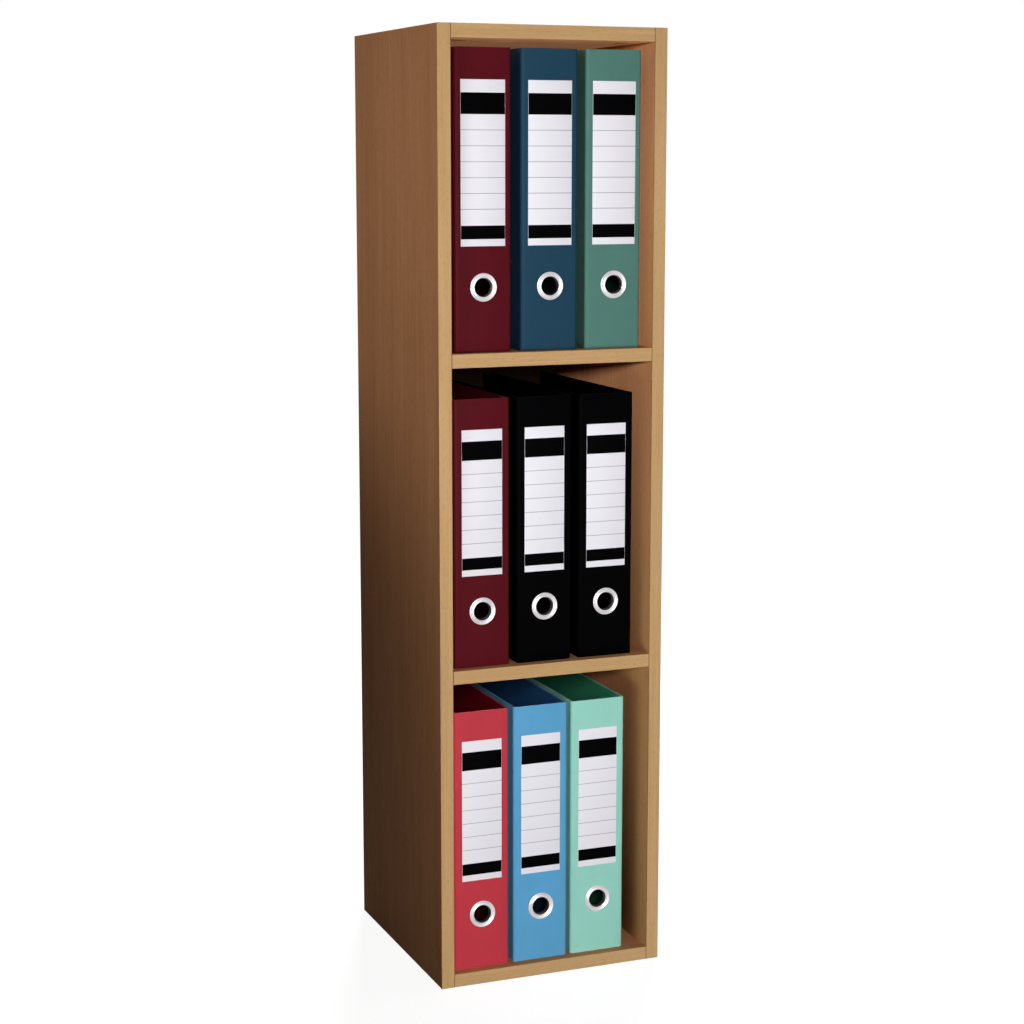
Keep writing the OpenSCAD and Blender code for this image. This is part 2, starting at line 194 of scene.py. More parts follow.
def bareFaces(tree, place, faces):
    # a mask of faces, each given by its axis, the sign of its side and its place
    spot = addNode(tree, "ShaderNodeSeparateXYZ", {"Vector": place})
    mask = None
    for axis, sign, at in faces:
        beyond = "GREATER_THAN" if sign > 0 else "LESS_THAN"
        side = addNode(tree, "ShaderNodeMath", {0: spot.outputs[axis], 1: at}, operation=beyond)
        if mask:
            both = {0: side.outputs[0], 1: mask.outputs[0]}
            side = addNode(tree, "ShaderNodeMath", both, operation="MAXIMUM")
        mask = side
    return mask.outputs[0]


def chipboard(tree, place):
    # bare chipboard: wood chips about 4 mm long pressed flat between the faces, in uneven
    # tans with fine dust between them
    look = chipboardLook
    chipsTo, dustTo = look["packing"]
    scaled = addNode(
        tree, "ShaderNodeMapping", {"Vector": place, "Scale": [1 / (size * mm) for size in look["chip"]]}
    )
    dust = addNode(
        tree, "ShaderNodeTexNoise", {"Vector": scaled.outputs["Vector"], "Scale": dustTo, "Detail": 4.0}
    )
    stirred = addNode(
        tree, "ShaderNodeMix", {0: look["stir"], 4: scaled.outputs["Vector"], 5: dust.outputs["Color"]},
        data_type="VECTOR",
    )
    chips = addNode(
        tree, "ShaderNodeTexVoronoi",
        {"Vector": stirred.outputs[1], "Scale": chipsTo, "Smoothness": look["blur"]}, feature="SMOOTH_F1",
    )
    shade = addNode(tree, "ShaderNodeSeparateColor", {"Color": chips.outputs["Color"]})
    dusted = addNode(tree, "ShaderNodeMix", {0: look["dust"], 2: shade.outputs[0], 3: dust.outputs["Fac"]})
    tone = addNode(tree, "ShaderNodeValToRGB", {"Fac": dusted.outputs[0]})
    ramp = tone.color_ramp
    tints = [colour(tint) for tint in look["tints"]]
    ramp.elements[0].color, ramp.elements[1].color = tints[0], tints[-1]
    for step, tint in enumerate(tints[1:-1], 1):
        ramp.elements.new(step / (len(tints) - 1)).color = tint
    return tone.outputs["Color"]


def beech(name, tones, along, bare=(), uprightBeyond=None):
    # satin melamine printed with beech: soft even streaks, short dark ray flecks, a faint
    # pressed pore and a low sheen, with some faces left as bare chipboard, quite matt
    look = woodLook
    darkTone, lightTone, fleckTone = (colour(tone) for tone in tones)
    made, tree, shader = startMaterial(name, {"IOR": 1.5, "Specular IOR Level": 0.002})
    place = addNode(tree, "ShaderNodeTexCoord").outputs["Object"]
    if uprightBeyond:
        place, joint = standingGrain(tree, place, uprightBeyond)
    tone = None
    for across, lengthways, detail, share in look["layers"]:
        sizes = [lengthways if axis == along else across for axis in range(3)]
        streaks = speckle(tree, place, sizes, detail, look["stir"])
        part = addNode(tree, "ShaderNodeMath", {0: streaks.outputs["Fac"], 1: share}, operation="MULTIPLY")
        if tone:
            part = addNode(tree, "ShaderNodeMath", {0: part.outputs[0], 1: tone.outputs[0]}, operation="ADD")
        tone = part
    darkest, palest = look["toneRange"]
    limits = {"Value": tone.outputs[0], "From Min": darkest, "From Max": palest}
    grainShare = addNode(tree, "ShaderNodeMapRange", limits)
    grain = addNode(
        tree, "ShaderNodeMix", {0: grainShare.outputs[0], 6: darkTone, 7: lightTone}, data_type="RGBA"
    )
    across, lengthways = look["fleck"]
    dots = speckle(tree, place, [lengthways if axis == along else across for axis in range(3)], 1.0)
    start, full = look["fleckFrom"]
    fleck = addNode(
        tree, "ShaderNodeMapRange",
        {"Value": dots.outputs["Fac"], "From Min": start, "From Max": full, "To Max": look["fleckShare"]},
    )
    surface = addNode(
        tree, "ShaderNodeMix", {0: fleck.outputs[0], 6: grain.outputs[2], 7: fleckTone}, data_type="RGBA"
    )
    if uprightBeyond:
        surface = addNode(
            tree, "ShaderNodeMix", {0: joint, 6: surface.outputs[2], 7: colour(look["joint"])},
            data_type="RGBA",
        )
    dull, sleek = look["roughness"]
    roughness = addNode(tree, "ShaderNodeMapRange", {**limits, "To Min": dull, "To Max": sleek})
    bump = addNode(
        tree, "ShaderNodeBump",
        {"Height": fleck.outputs[0], "Strength": 0.35, "Distance": look["fleckDeep"] * mm}, invert=True,
    )
    base, sheen = surface.outputs[2], roughness.outputs[0]
    if bare:
        mask = bareFaces(tree, place, bare)
        base = addNode(
            tree, "ShaderNodeMix", {0: mask, 6: base, 7: chipboard(tree, place)}, data_type="RGBA"
        ).outputs[2]
        sheen = addNode(tree, "ShaderNodeMix", {0: mask, 2: sheen, 3: chipboardLook["roughness"]}).outputs[0]
    finishWith(tree, shader, base, sheen, bump)
    return made


rearEdge = (1, 1, cadHigh.y - 0.05 * mm)
footEdge = (2, -1, 0.05 * mm)
jointAt = 126.5 * mm  # the inner faces of the sides, where upright bands meet level ones
sideFoil = beech("beechFoilUpright", woodTones["foil"], 2, bare=(rearEdge, footEdge))
boardFoil = beech("beechFoilLevel", woodTones["foil"], 0)
topBand = beech("beechBandTop", woodTones["foil"], 1)
dowelBeech = beech("rawBeechDowel", woodTones["dowel"], 0)
frontBand = beech("beechBandFront", woodTones["band"], 0, uprightBeyond=jointAt)


hardboardLook = {
    "frontPaintedShade": ("#2c1b10", "#3b2616"),  # the pressed face in front, painted very dark as painted shade for the shadow at the back of the compartments; dark and light tone
    "rough": ("#54391f", "#6b4b2c"),  # the face behind
    "fibre": 1.6,  # mm; the real felted fibres are half that, which is too fine to show
    "fibreShare": 1.6,  # weight of the fibres against the mottle
    "mottle": 45,  # mm
    "toneRange": (0.95, 1.65),
    "screen": 2.4,  # mm between the wires of the pressing screen, drawn twice as coarse to show
    "pressed": 0.12,  # mm deep
}


def hardboard(name):
    # oil-tempered wood fibre: a smooth face in front, painted very dark as painted shade for the
    # shadow at the back of the compartments, and behind it the screen it was pressed on, in mottled matt
    # brown
    look = hardboardLook
    made, tree, shader = startMaterial(name, {"Roughness": 0.66, "IOR": 1.5, "Specular IOR Level": 0.1})
    place = addNode(tree, "ShaderNodeTexCoord").outputs["Object"]
    fibres = speckle(tree, place, [look["fibre"]] * 3, 5.0).outputs["Fac"]
    clouds = speckle(tree, place, [look["mottle"]] * 3, 3.0).outputs["Fac"]
    fine = addNode(tree, "ShaderNodeMath", {0: fibres, 1: look["fibreShare"]}, operation="MULTIPLY")
    both = addNode(tree, "ShaderNodeMath", {0: fine.outputs[0], 1: clouds}, operation="ADD")
    darkest, palest = look["toneRange"]
    share = addNode(
        tree, "ShaderNodeMapRange", {"Value": both.outputs[0], "From Min": darkest, "From Max": palest}
    )
    faces = []
    for face in ("frontPaintedShade", "rough"):
        dark, light = (colour(tint) for tint in look[face])
        faces.append(
            addNode(tree, "ShaderNodeMix", {0: share.outputs[0], 6: dark, 7: light}, data_type="RGBA")
        )
    spot = addNode(tree, "ShaderNodeSeparateXYZ", {"Vector": place})
    behind = addNode(
        tree, "ShaderNodeMath", {0: spot.outputs[1], 1: cadHigh.y - 1 * mm}, operation="GREATER_THAN"
    )
    # the face in front takes the very dark tones, which are painted shade for the back of the compartments
    tone = addNode(
        tree, "ShaderNodeMix", {0: behind.outputs[0], 6: faces[0].outputs[2], 7: faces[1].outputs[2]},
        data_type="RGBA",
    )
    wires = []
    for axis in (0, 2):
        turns = {0: spot.outputs[axis], 1: 2 * math.pi / (look["screen"] * mm)}
        angle = addNode(tree, "ShaderNodeMath", turns, operation="MULTIPLY")
        wires.append(addNode(tree, "ShaderNodeMath", {0: angle.outputs[0]}, operation="SINE").outputs[0])
    screen = addNode(tree, "ShaderNodeMath", {0: wires[0], 1: wires[1]}, operation="MULTIPLY")
    pressed = addNode(
        tree, "ShaderNodeMath", {0: screen.outputs[0], 1: behind.outputs[0]}, operation="MULTIPLY"
    )
    height = addNode(tree, "ShaderNodeMath", {0: fibres, 1: pressed.outputs[0]}, operation="ADD")
    bump = addNode(
        tree, "ShaderNodeBump",
        {"Height": height.outputs[0], "Strength": 0.5, "Distance": look["pressed"] * mm},
    )
    finishWith(tree, shader, tone.outputs[2], None, bump)
    return made


metalKinds = {  # tint, roughness, and the size and depth of the finish's grit in mm
    "nickelPlatedSteel": ("#d2d1cf", 0.24, 0.5, 0.01),  # bright and a little warm
    "rolledNickelRing": ("#cdcacc", 0.34, 0.4, 0.01),  # softened by the rolling
    "brightZincSteel": ("#cdd0d2", 0.30, 0.5, 0.015),  # cooler
    "castZinc": ("#b9bbbd", 0.42, 0.9, 0.05),  # greyer and duller, with the mould's grain
}
handlingMarks = {
    "size": 14,  # mm
    "darkening": 0.93,
    "dulling": (0.8, 1.25),  # shares of the roughness, where it is touched least and most
}


def metal(name):
    # plated or cast metal: full reflection, a fine grit in the finish and faint handling marks
    tint, roughness, grit, depth = metalKinds[name]
    made, tree, shader = startMaterial(name, {"Metallic": 1.0})
    place = addNode(tree, "ShaderNodeTexCoord").outputs["Object"]
    grains = speckle(tree, place, [grit] * 3, 3.0).outputs["Fac"]
    marks = speckle(tree, place, [handlingMarks["size"]] * 3, 2.0).outputs["Fac"]
    least, most = handlingMarks["dulling"]
    dull = addNode(
        tree, "ShaderNodeMapRange",
        {**noiseSpan, "Value": marks, "To Min": roughness * least, "To Max": roughness * most},
    )
    rgba = colour(tint)
    touched = tinted(rgba, handlingMarks["darkening"])
    shade = addNode(tree, "ShaderNodeMix", {0: marks, 6: touched, 7: rgba}, data_type="RGBA")
    bump = addNode(tree, "ShaderNodeBump", {"Height": grains, "Strength": 0.2, "Distance": depth * mm})
    finishWith(tree, shader, shade.outputs[2], dull.outputs[0], bump)
    return made


filmLook = {
    "clouds": 26,  # mm; slow changes of the tone, by the shares below
    "cloudTones": (0.98, 1.02),
    "marks": 5,  # mm; wear, which changes the roughness by these steps
    "markSteps": (-0.05, 0.06),
    "rub": (0.15, 0.4),  # how much the turned edges are rubbed paler
    "paler": 0.45,
}


def film(name, tint, grain=0.55, depth=0.035, roughness=0.44, shine=0.3):
    # polypropylene film over board, calendered with a fine grain of about 0.3 mm that is
    # drawn a little coarser to show; the turned edges are rubbed paler
    look = filmLook
    made, tree, shader = startMaterial(name, {"IOR": 1.49, "Specular IOR Level": shine})
    place = addNode(tree, "ShaderNodeTexCoord").outputs["Object"]
    grains = speckle(tree, place, [grain] * 3, 2.0).outputs["Fac"]
    clouds = speckle(tree, place, [look["clouds"]] * 3, 3.0).outputs["Fac"]
    marks = speckle(tree, place, [look["marks"]] * 3, 4.0).outputs["Fac"]
    rgba = colour(tint)
    dark, light = (tinted(rgba, share) for share in look["cloudTones"])
    cloudy = addNode(tree, "ShaderNodeMapRange", {**noiseSpan, "Value": clouds})
    tone = addNode(tree, "ShaderNodeMix", {0: cloudy.outputs[0], 6: dark, 7: light}, data_type="RGBA")
    rim = addNode(tree, "ShaderNodeAttribute", attribute_name="rim")
    least, most = look["rub"]
    rub = addNode(
        tree, "ShaderNodeMapRange", {**noiseSpan, "Value": marks, "To Min": least, "To Max": most}
    )
    worn = addNode(tree, "ShaderNodeMath", {0: rim.outputs["Fac"], 1: rub.outputs[0]}, operation="MULTIPLY")
    paler = look["paler"]
    pale = [(1 - paler) * c + paler * max(rgba[:3]) + 0.012 for c in rgba[:3]] + [1]
    edge = addNode(tree, "ShaderNodeMix", {0: worn.outputs[0], 6: tone.outputs[2], 7: pale}, data_type="RGBA")
    sleeker, duller = look["markSteps"]
    dull = addNode(
        tree, "ShaderNodeMapRange",
        {"Value": marks, "From Min": 0.3, "From Max": 0.7,
         "To Min": roughness + sleeker, "To Max": roughness + duller},
    )
    bump = addNode(tree, "ShaderNodeBump", {"Height": grains, "Strength": 0.35, "Distance": depth * mm})
    finishWith(tree, shader, edge.outputs[2], dull.outputs[0], bump)
    return made


labelPrint = {
    "paper": "#eae8ef",
    "ink": "#030304",
    "rule": "#9c9ba3",
    "topBand": (0.0754, 0.2053),  # shares of the label's height, from its top
    "lowBand": (0.8715, 0.9539),
    "rulePitch": 0.0952,
    "rules": 6,
    "ruleHalf": 0.020,  # half a ruled line, as a share of the pitch
    "margin": 0.004,  # white left beside the bands, as a share of the width
    "fibre": 0.7,  # mm
}


def inkedBands(tree, across, down):
    # a mask of the two black bands, which stop just short of the label's sides
    look = labelPrint
    stops = addNode(tree, "ShaderNodeValToRGB", {"Fac": down})
    ramp = stops.color_ramp
    ramp.interpolation = "CONSTANT"
    ramp.elements[0].color = (0, 0, 0, 1)
    ramp.elements[1].position = look["lowBand"][1]
    ramp.elements[1].color = (0, 0, 0, 1)
    for at, ink in ((look["topBand"][0], 1), (look["topBand"][1], 0), (look["lowBand"][0], 1)):
        ramp.elements.new(at).color = (ink, ink, ink, 1)
    offset = addNode(tree, "ShaderNodeMath", {0: across, 1: 0.5}, operation="SUBTRACT")
    aside = addNode(tree, "ShaderNodeMath", {0: offset.outputs[0]}, operation="ABSOLUTE")
    within = addNode(
        tree, "ShaderNodeMath", {0: aside.outputs[0], 1: 0.5 - look["margin"]}, operation="LESS_THAN"
    )
    return addNode(
        tree, "ShaderNodeMath", {0: stops.outputs["Color"], 1: within.outputs[0]}, operation="MULTIPLY"
    ).outputs[0]


def ruledLines(tree, down):
    # a mask of the writing lines, evenly spaced below the top band
    look = labelPrint
    below = addNode(tree, "ShaderNodeMath", {0: down, 1: look["topBand"][1]}, operation="SUBTRACT")
    steps = addNode(tree, "ShaderNodeMath", {0: below.outputs[0], 1: look["rulePitch"]}, operation="DIVIDE")
    fromRule = addNode(tree, "ShaderNodeMath", {0: steps.outputs[0], 1: 0.5}, operation="PINGPONG")
    mask = addNode(
        tree, "ShaderNodeMath", {0: fromRule.outputs[0], 1: look["ruleHalf"]}, operation="LESS_THAN"
    )
    for limit, beyond in ((0.5, "GREATER_THAN"), (look["rules"] + 0.5, "LESS_THAN")):
        inside = addNode(tree, "ShaderNodeMath", {0: steps.outputs[0], 1: limit}, operation=beyond)
        mask = addNode(
            tree, "ShaderNodeMath", {0: mask.outputs[0], 1: inside.outputs[0]}, operation="MULTIPLY"
        )
    return mask.outputs[0]


def printedCard(name):
    # uncoated white card, offset printed: flat black bands, thin grey writing lines
    look = labelPrint
    made, tree, shader = startMaterial(name, {"Roughness": 0.6, "IOR": 1.45, "Specular IOR Level": 0.01})
    coordinates = addNode(tree, "ShaderNodeTexCoord").outputs
    spot = addNode(tree, "ShaderNodeSeparateXYZ", {"Vector": coordinates["UV"]})
    down = addNode(tree, "ShaderNodeMath", {0: 1.0, 1: spot.outputs[1]}, operation="SUBTRACT").outputs[0]
    fibre = speckle(tree, coordinates["Object"], [look["fibre"]] * 3, 4.0).outputs["Fac"]
    paper = colour(look["paper"])
    tone = addNode(tree, "ShaderNodeMix", {0: fibre, 6: tinted(paper, 0.97), 7: paper}, data_type="RGBA")
    prints = ((ruledLines(tree, down), "rule"), (inkedBands(tree, spot.outputs[0], down), "ink"))
    for mask, tint in prints:
        tone = addNode(
            tree, "ShaderNodeMix", {0: mask, 6: tone.outputs[2], 7: colour(look[tint])}, data_type="RGBA"
        )
    bump = addNode(tree, "ShaderNodeBump", {"Height": fibre, "Strength": 0.15, "Distance": 0.02 * mm})
    finishWith(tree, shader, tone.outputs[2], None, bump)
    return made


nickel, ringNickel, zincWire, zincCast = (metal(name) for name in metalKinds)
# moulded polyethylene has the same kind of grain and sheen as the film, a little coarser
capPlastic = film("mouldedPolyethyleneCap", "#b58058", grain=1.1, depth=0.05, roughness=0.5)
card = printedCard("printedCard")
filmTints = {  # each slot's name, film outside and paper lining inside as sRGB, and their shines
    "bright_red_film": ("brightRed", "#bb3a45", "#8a1420", (0.05, 0.04)),
    "light_blue_film": ("lightBlue", "#5ba0cb", "#356aa3", (0.05, 0.04)),
    "mint_film": ("mint", "#94d0c1", "#45ad87", (0.05, 0.04)),
    "dark_red_film": ("darkRed", "#510e17", "#5a121b", (0.05, 0.04)),
    "black_film": ("black", "#030304", "#030304", (0.008, 0.02)),
    "dark_blue_film": ("darkBlue", "#203f53", "#25486a", (0.05, 0.04)),
    "teal_film": ("teal", "#507970", "#3c8068", (0.05, 0.04)),
}
films = {}
linings = {}  # uncoated dyed paper, matt and with a wider, shallower grain than the film
for slotName, (tintName, outside, inside, shines) in filmTints.items():
    films[slotName] = film(tintName + "Film", outside, shine=shines[0])
    linings[slotName] = film(
        tintName + "Lining", inside, grain=1.2, depth=0.02, roughness=0.6, shine=shines[1]
    )
print("materials made:", len(bpy.data.materials))

cadFinishes = {
    "left_side": sideFoil,
    "right_side": sideFoil,
    "bottom_board": boardFoil,
    "lower_shelf": boardFoil,
    "upper_shelf": boardFoil,
    "top_board": boardFoil,
    "back_panel": hardboard("pressedHardboard"),
    "front_bands": frontBand,
    "top_bands": topBand,
    "dowels": dowelBeech,
    "cam_bolts": zincWire,
    "cam_housings": zincCast,
    "cam_caps": capPlastic,
    "back_pins": zincWire,
}
for nodeName, finish in cadFinishes.items():
    piece = frame["nodes"][nodeName]
    piece.data.materials.clear()
    piece.data.materials.append(finish)
print("shelf finished")


# small helpers for modelling; all their lengths are in millimetres
def addShape(kind, name, at, spans, turn=(0, 0, 0), **shape):
    # adds a primitive at its place and size and opens it for editing, with nothing selected
    bpy.ops.object.select_all(action="DESELECT")
    getattr(bpy.ops.mesh, f"primitive_{kind}_add")(
        location=[v * mm for v in at], rotation=[math.radians(v) for v in turn], **shape
    )
    made = bpy.context.object
    made.name = made.data.name = name
    made.scale = [v * mm for v in spans]
    bpy.ops.object.transform_apply(location=True, rotation=True, scale=True)
    bpy.ops.object.mode_set(mode="EDIT")
    bpy.ops.mesh.select_mode(type="VERT")
    bpy.ops.mesh.select_all(action="DESELECT")
    return made


def near(value, target, slack=0.02):
    return abs(value - target) < slack


def pick(piece, kind, test):
    # selects the corners, edges or faces whose corners all pass the test
    bpy.ops.mesh.select_all(action="DESELECT")
    bpy.ops.mesh.select_mode(type=kind)
    mesh = bmesh.from_edit_mesh(piece.data)
    for part in {"VERT": mesh.verts, "EDGE": mesh.edges, "FACE": mesh.faces}[kind]:
        corners = [part] if kind == "VERT" else part.verts
        if all(test(c.co / mm) for c in corners):
            part.select_set(True)
    mesh.select_flush_mode()
    bmesh.update_edit_mesh(piece.data)


def pickEdges(piece, axis, test):
    # selects the edges that run along an axis and whose two ends pass the test
    bpy.ops.mesh.select_all(action="DESELECT")
    bpy.ops.mesh.select_mode(type="EDGE")
    mesh = bmesh.from_edit_mesh(piece.data)
    for edge in mesh.edges:
        first, second = (corner.co / mm for corner in edge.verts)
        level = all(near(first[i], second[i]) for i in range(3) if i != axis)
        edge.select_set(level and test(first) and test(second))
    mesh.select_flush_mode()
    bmesh.update_edit_mesh(piece.data)


def extrude(x=0, y=0, z=0):
    bpy.ops.mesh.extrude_region_move(TRANSFORM_OT_translate={"value": (x * mm, y * mm, z * mm)})


def roundPicked(radius, steps, affect="EDGES", **settings):
    # rounds the picked edges or corners
    bpy.ops.mesh.bevel(offset=radius * mm, segments=steps, affect=affect, **settings)


def insetPicked(border, rise=0):
    bpy.ops.mesh.inset(thickness=border * mm, depth=rise * mm)


def weld(within):
    # merges doubled corners and points every face outwards
    bpy.ops.mesh.select_all(action="SELECT")
    bpy.ops.mesh.remove_doubles(threshold=within * mm)
    bpy.ops.mesh.normals_make_consistent(inside=False)


def modify(piece, kind, **settings):
    bpy.ops.object.modifier_add(type=kind)
    step = piece.modifiers[-1]
    for key, value in settings.items():
        setattr(step, key, value)
    bpy.ops.object.modifier_apply(modifier=step.name)


def roundEdges(piece, radius, steps=2, beyond=60):
    # rounds every edge that turns by more than so many degrees
    modify(
        piece, "BEVEL", width=radius * mm, segments=steps, limit_method="ANGLE",
        angle_limit=math.radians(beyond),
    )


def smoothBelow(degrees=35):
    bpy.ops.object.shade_smooth_by_angle(angle=math.radians(degrees))


def finishShape(piece, edgeRound=0):
    bpy.ops.object.mode_set(mode="OBJECT")
    if edgeRound:
        roundEdges(piece, edgeRound, beyond=50)
    smoothBelow()
    return piece


def drill(piece, at, radius, reach, turn=(0, 90, 0), sides=32):
    # cuts a round hole through the piece
    cutter = addShape(
        "cylinder", "drillBit", at, (radius, radius, reach), turn=turn, vertices=sides, radius=1, depth=2
    )
    bpy.ops.object.mode_set(mode="OBJECT")
    bpy.ops.object.select_all(action="DESELECT")
    piece.select_set(True)
    bpy.context.view_layer.objects.active = piece
    modify(piece, "BOOLEAN", operation="DIFFERENCE", solver="EXACT", object=cutter)
    bpy.data.objects.remove(cutter)


def turned(name, axis, at, section, sides=24, closed=False):
    # turns a section about the x or y axis: rings of (radius, distance along the axis) in turn
    along = Vector([1 if i == axis else 0 for i in range(3)])
    radius, shift = section[0]
    piece = addShape(
        "circle", name, Vector(at) + along * shift, (radius, radius, 1),
        turn=((0, 90, 0), (-90, 0, 0))[axis],
        vertices=sides, radius=1, fill_type="NOTHING" if closed else "NGON",
    )
    bpy.ops.mesh.select_all(action="SELECT")
    for nextRadius, nextShift in section[1:] + (section[:1] if closed else []):
        extrude(*(along * (nextShift - shift)))
        scale = nextRadius / radius
        bpy.ops.transform.resize(
            value=[1 if i == axis else scale for i in range(3)],
            center_override=(Vector(at) + along * nextShift) * mm,
        )
        radius, shift = nextRadius, nextShift
    weld(0.0005)
    return finishShape(piece)


def joined(name, pieces):
    bpy.ops.object.select_all(action="DESELECT")
    for piece in pieces:
        piece.select_set(True)
    bpy.context.view_layer.objects.active = pieces[0]
    bpy.ops.object.join()
    pieces[0].name = pieces[0].data.name = name
    smoothBelow()
    return pieces[0]


# the files: the middle of each one's height is where its lever arch mechanism sits
fileKinds = {  # height, height of the ring, width and height of the label
    "lower": {"tall": 318, "ringUp": 67, "label": (50.5, 172.5)},
    "tall": {"tall": 346, "ringUp": 75, "label": (54.5, 188)},
}

# the cover: one board bent round the spine, with a paper lining inside it
coverBoard = {
    "width": 70,
    "depth": 285,
    "board": 2.1,
    "lining": 0.2,
    "liningInset": 0.8,  # how far it stops short of the board's edges
    "spineRound": 4,
    "roundSteps": 6,
    "creaseAt": 7,  # behind the spine's face
    "creaseHalf": 1.7,
    "creaseDeep": 0.8,
    "creaseShape": ((-1, 0), (-0.55, 0.55), (0, 1), (0.55, 0.55), (1, 0)),  # shares: across, deep
    "fingerHole": 22.3,
    "rimRound": 0.45,
    "rimBand": 0.6,  # the rubbed edge, measured in from the rim
}


def bentBoard(name, kind, inset, thick, margin):
    # one sheet folded into a U, creased down both sides behind the spine
    look = coverBoard
    left, right, front = inset, look["width"] - inset, inset
    low, high, back = margin, kind["tall"] - margin, look["depth"] - margin
    piece = addShape(
        "plane", name, ((left + right) / 2, front, (low + high) / 2), (right - left, high - low, 1),
        turn=(90, 0, 0), size=1,
    )
    for wall in (left, right):
        pick(piece, "EDGE", lambda p: near(p.x, wall))
        extrude(y=back - front)
    pickEdges(piece, 2, lambda p: near(p.y, front))  # the two folds
    roundPicked(look["spineRound"] - inset, look["roundSteps"], clamp_overlap=False)
    for share, deep in look["creaseShape"]:
        at = look["creaseAt"] + share * look["creaseHalf"]
        bpy.ops.mesh.select_all(action="SELECT")
        bpy.ops.mesh.bisect(plane_co=(0, at * mm, 0), plane_no=(0, 1, 0))
        for wall, inward in ((left, 1), (right, -1)):
            pick(piece, "VERT", lambda p: near(p.y, at) and near(p.x, wall))
            bpy.ops.transform.translate(value=(inward * deep * look["creaseDeep"] * mm, 0, 0))
    bpy.ops.mesh.select_all(action="SELECT")
    bpy.ops.mesh.remove_doubles(threshold=0.001 * mm)
    spineFaces = [
        face for face in bmesh.from_edit_mesh(piece.data).faces
        if near(face.calc_center_median().y / mm, front)
    ]
    if max(spineFaces, key=lambda face: face.calc_area()).normal.y > 0:
        bpy.ops.mesh.flip_normals()
    bpy.ops.object.mode_set(mode="OBJECT")
    modify(piece, "SOLIDIFY", thickness=thick * mm, offset=-1, use_even_offset=True)
    roundEdges(piece, min(look["rimRound"], thick * 0.3), steps=3)
    drill(piece, (look["width"] / 2, 2, kind["ringUp"]), look["fingerHole"] / 2, 6, (90, 0, 0), sides=64)
    rim = piece.data.attributes.new("rim", "FLOAT", "FACE")
    band = look["rimBand"]
    for face in piece.data.polygons:
        spots = [piece.data.vertices[v].co / mm for v in face.vertices]
        heights = [spot.z for spot in spots]
        onRim = max(heights) < low + band or min(heights) > high - band
        onRim = onRim or min(spot.y for spot in spots) > back - band
        rim.data[face.index].value = 1.0 if onRim else 0.0
    smoothBelow(40)
    return piece


def makeCover(kind):
    return bentBoard("coverModel", kind, 0, coverBoard["board"], 0)


def makeLining(kind):
    look = coverBoard
    return bentBoard("liningModel", kind, look["board"], look["lining"], look["liningInset"])


spineCard = {
    "thick": 0.3,
    "drop": 36,  # from the cover's top edge
    "edgeRound": 0.08,
}


def makeLabel(kind):
    # printed card glued to the spine; its own UV map carries the print from top to bottom
    look = spineCard
    wide, tall = kind["label"]
    up = kind["tall"] - look["drop"] - tall / 2
    piece = addShape(
        "plane", "labelModel", (coverBoard["width"] / 2, -look["thick"], up), (wide, tall, 1),
        turn=(90, 0, 0), size=1,
    )
    bpy.ops.object.mode_set(mode="OBJECT")
    modify(piece, "SOLIDIFY", thickness=look["thick"] * mm, offset=-1)
    roundEdges(piece, look["edgeRound"])
    smoothBelow(30)
    return piece


# the finger ring: two rolled rims with a hollow between them, and a lip behind
fingerRing = {
    "section": [  # radius, then distance behind the spine's face
        (10.2, 4.5), (10.25, 3.0), (10.9, -1.0), (10.97, -1.38), (11.1, -1.71), (11.35, -1.92), (11.7, -2.0),
        (12.1, -1.9), (12.45, -1.6), (12.8, -1.2), (13.3, -0.95), (13.9, -0.95), (14.4, -1.2), (14.75, -1.6),
        (15.1, -1.9), (15.5, -2.0), (15.9, -1.92), (16.2, -1.71), (16.43, -1.38), (16.5, -1.0),
        (16.43, -0.62), (16.2, -0.29), (15.9, -0.08), (15.5, 0.0), (11.1, 0.0), (11.1, 2.3), (13.4, 2.3),
        (13.5, 2.45), (13.5, 2.8), (13.35, 2.9), (10.8, 2.9), (10.6, 3.2), (10.5, 4.4),
    ],
    "sides": 72,
}


def makeRing(kind):
    at = (coverBoard["width"] / 2, 0, kind["ringUp"])
    return turned("ringModel", 1, at, fingerRing["section"], fingerRing["sides"], closed=True)


# the lever arch mechanism stands on the left cover: its first measure is from the cover's
# outside, its second from the spine's face, and up is from the middle of the file's height
archWire = {
    "hinge": (7.3, 37.3),
    "hoopUp": 40,
    "hoopWide": 40,
    "bendAt": 42.7,  # from the cover to where the hoops turn back
    "corner": 4,
    "thick": 4,
    "sides": 16,
    "bendSteps": 7,  # to a quarter turn
}


def makeArchWire(kind):
    # two hoops and the straight hinge between them in one wire, bent in spins
    look = archWire
    x, y = look["hinge"]
    up = kind["tall"] / 2
    bend, wide, high, corner = look["bendAt"], look["hoopWide"], look["hoopUp"], look["corner"]
    radius = look["thick"] / 2
    piece = addShape(
        "circle", "archModel", (bend, y + wide, up + high), (radius, radius, 1), turn=(0, 90, 0),
        vertices=look["sides"], radius=1, fill_type="NGON",
    )
    bpy.ops.mesh.select_all(action="SELECT")
    bends = [  # centre, axis, quarter turns, then the straight that follows
        ((bend, y + wide / 2, up + high), (0, 0, 1), -2, (x + corner - bend, 0, 0)),
        ((x + corner, y, up + high - corner), (0, 1, 0), -1, (0, 0, -2 * (high - corner))),
        ((x + corner, y, up - high + corner), (0, 1, 0), -1, (bend - x - corner, 0, 0)),
        ((bend, y + wide / 2, up - high), (0, 0, 1), 2, None),
    ]
    for centre, axis, quarters, straight in bends:
        bpy.ops.mesh.spin(
            steps=look["bendSteps"] * abs(quarters), angle=math.radians(-90 * quarters),
            center=[v * mm for v in centre], axis=axis,
        )
        if straight:
            extrude(*straight)
    weld(0.001)
    return finishShape(piece)


